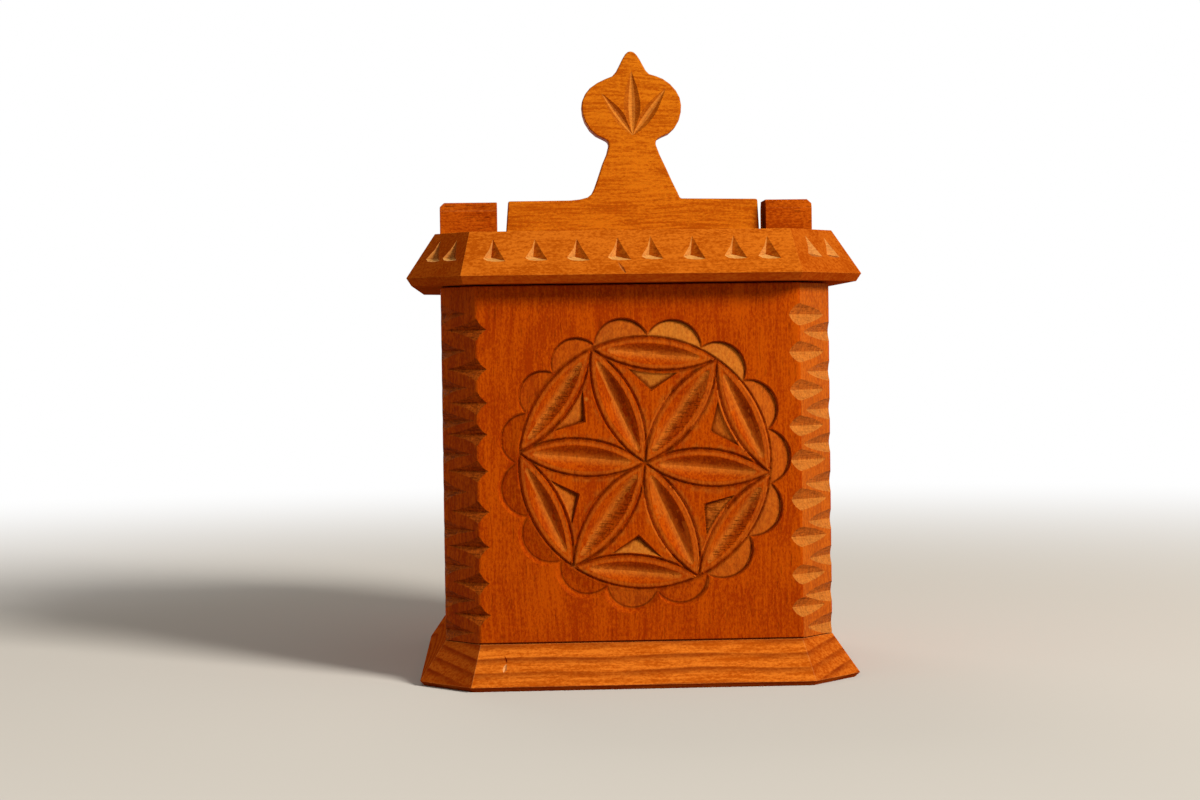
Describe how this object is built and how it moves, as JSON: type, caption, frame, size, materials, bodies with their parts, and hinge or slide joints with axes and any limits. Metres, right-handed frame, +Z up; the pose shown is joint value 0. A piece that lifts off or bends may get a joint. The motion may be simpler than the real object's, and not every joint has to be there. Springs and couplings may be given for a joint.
{
  "type": "puzzle box",
  "caption": "Square carved wooden puzzle box on a bevelled plinth; a sliding key board with a finial works a hidden bolt that locks the lift-off lid.",
  "frame": {"origin": "centre of the plinth's underside", "axes": "+Z up through the finial, -Y towards the carved front, +X to the right seen from the front, along the key board's slide"},
  "size_m": [0.1112, 0.1112, 0.1587],
  "materials": {
    "plinth_wood": "oiled and waxed, horizontal grain",
    "body_wood": "oiled and waxed, upright grain, carved",
    "lid_wood": "oiled and waxed, horizontal grain, carved",
    "key_wood": "oiled and waxed, horizontal grain",
    "inner_wood": "planed, unfinished",
    "peg_wood": "turned dowel, unfinished"
  },
  "bodies": {
    "box": {"base_plate": "plinth_wood", "front_wall": "body_wood", "back_wall": "body_wood", "left_wall": "body_wood", "right_wall": "body_wood", "front_catch": "inner_wood", "front_stop": "inner_wood", "back_catch": "inner_wood", "back_stop": "inner_wood", "base_pegs": "peg_wood"},
    "lid": {"lid_board": "lid_wood", "left_cleat": "inner_wood", "right_cleat": "inner_wood", "left_end_block": "lid_wood", "right_end_block": "lid_wood", "block_pegs": "peg_wood", "cleat_pegs": "peg_wood"},
    "key": {"finial_board": "key_wood", "lock_bolt": "inner_wood", "bolt_pin": "peg_wood"}
  },
  "joints": [
    {"name": "lid_lift", "type": "slide", "parent": "box", "child": "lid", "axis": [0, 0, 1], "range_m": [0, 0.06]},
    {"name": "key_slide", "type": "slide", "parent": "lid", "child": "key", "axis": [1, 0, 0], "range_m": [-0.002, 0.0012]}
  ]
}
